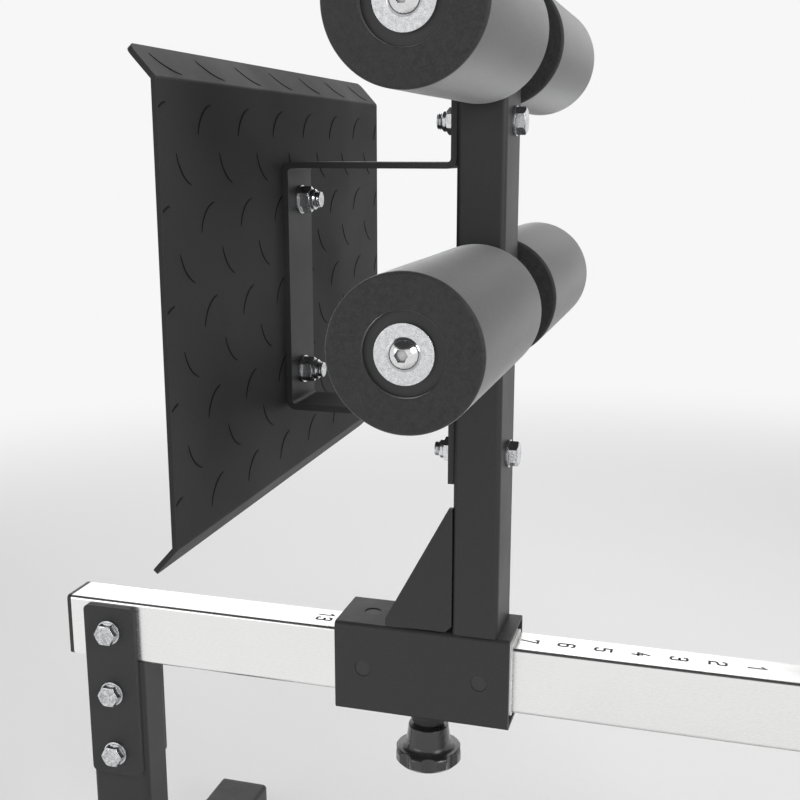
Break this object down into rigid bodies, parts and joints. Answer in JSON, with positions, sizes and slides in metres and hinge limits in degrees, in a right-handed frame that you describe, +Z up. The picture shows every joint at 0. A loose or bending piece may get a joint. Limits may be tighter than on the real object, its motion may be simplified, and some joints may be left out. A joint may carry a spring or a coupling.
{
  "type": "glute ham developer",
  "caption": "Floor-standing glute ham developer: tube frame, sliding foot carriage with foam ankle rollers and bent foot plate, pop pin, and split half-moon hip pads.",
  "frame": {"origin": "on the floor, at the middle of the machine's footprint box", "axes": "+X from the foot end to the hip pads, +Y to the user's left when facing the pads, +Z up"},
  "size_m": [1.6776, 0.91, 1.2151],
  "materials": {
    "black_coat": "fine textured matte powder coat",
    "foot_plate_coat": "satin black powder coat",
    "stainless": "satin brushed stainless",
    "zinc": "bright zinc plate",
    "foam": "closed-cell foam, fine skin",
    "black_plastic": "matte moulded",
    "knob": "satin moulded",
    "liner": "smooth white polymer",
    "pad_vinyl": "black grained vinyl over foam",
    "board": "plywood",
    "rubber": "moulded rubber"
  },
  "bodies": {
    "frame": {"slide_beam": "stainless", "beam_end_cap": "black_plastic", "rear_leg": "black_coat", "rear_foot": "black_coat", "base_rail": "black_coat", "front_foot": "black_coat", "foot_end_caps": "black_plastic", "rubber_feet": "rubber", "rear_joint_plates": "black_coat", "rear_joint_bolts": "zinc", "rear_joint_nuts": "zinc", "front_upright": "black_coat", "front_joint_plates": "black_coat", "front_joint_bolts": "zinc", "front_joint_nuts": "zinc", "joint_washers": "zinc", "front_brace": "black_coat", "pad_crossbar": "black_coat", "crossbar_caps": "black_plastic", "pad_plates": "black_coat", "pad_boards": "board", "left_hip_pad": "pad_vinyl", "right_hip_pad": "pad_vinyl", "pad_screws": "zinc", "handle_bars": "black_coat", "handle_grips": "rubber", "wheel_brackets": "black_coat", "wheel_axles": "zinc"},
    "carriage": {"carriage_sleeve": "black_coat", "glide_liners": "liner", "glide_plugs": "black_plastic", "foot_post": "black_coat", "post_cap": "black_plastic", "gusset_plates": "black_coat", "upper_axle": "zinc", "lower_axle": "zinc", "axle_collars": "black_coat", "axle_washers": "zinc", "axle_bolts": "zinc", "foot_bracket": "black_coat", "foot_plate": "foot_plate_coat", "foot_plate_bolts": "zinc", "foot_plate_nuts": "zinc", "bracket_bolts": "zinc", "bracket_washers": "zinc", "bracket_nuts": "zinc", "pin_barrel": "black_coat", "pin_spring": "zinc"},
    "pop_pin": {"pin_plunger": "zinc", "pin_knob": "knob"},
    "upper_left_roller": {"upper_left_foam": "foam", "upper_left_core": "black_plastic"},
    "upper_right_roller": {"upper_right_foam": "foam", "upper_right_core": "black_plastic"},
    "lower_left_roller": {"lower_left_foam": "foam", "lower_left_core": "black_plastic"},
    "lower_right_roller": {"lower_right_foam": "foam", "lower_right_core": "black_plastic"},
    "left_wheel_body": {"left_wheel": "rubber"},
    "right_wheel_body": {"right_wheel": "rubber"}
  },
  "joints": [
    {"name": "carriage_slide", "type": "slide", "parent": "frame", "child": "carriage", "axis": [1, 0, 0], "range_m": [-0.24, 0.24]},
    {"name": "pin_pull", "type": "slide", "parent": "carriage", "child": "pop_pin", "axis": [0, 0, -1], "range_m": [0, 0.012], "stiffness_N_per_m": 900, "springref_m": -0.015, "deforming": ["pin_spring"]},
    {"name": "upper_left_roll", "type": "hinge", "parent": "carriage", "child": "upper_left_roller", "pos_m": [-0.3288, 0.18, 1.1494], "axis": [0, 1, 0], "continuous": true},
    {"name": "upper_right_roll", "type": "hinge", "parent": "carriage", "child": "upper_right_roller", "pos_m": [-0.3288, -0.18, 1.1494], "axis": [0, 1, 0], "continuous": true},
    {"name": "lower_left_roll", "type": "hinge", "parent": "carriage", "child": "lower_left_roller", "pos_m": [-0.3288, 0.18, 0.8834], "axis": [0, 1, 0], "continuous": true},
    {"name": "lower_right_roll", "type": "hinge", "parent": "carriage", "child": "lower_right_roller", "pos_m": [-0.3288, -0.18, 0.8834], "axis": [0, 1, 0], "continuous": true},
    {"name": "left_wheel_spin", "type": "hinge", "parent": "frame", "child": "left_wheel_body", "pos_m": [0.8013, 0.25, 0.0435], "axis": [0, 1, 0], "continuous": true},
    {"name": "right_wheel_spin", "type": "hinge", "parent": "frame", "child": "right_wheel_body", "pos_m": [0.8013, -0.25, 0.0435], "axis": [0, 1, 0], "continuous": true}
  ]
}
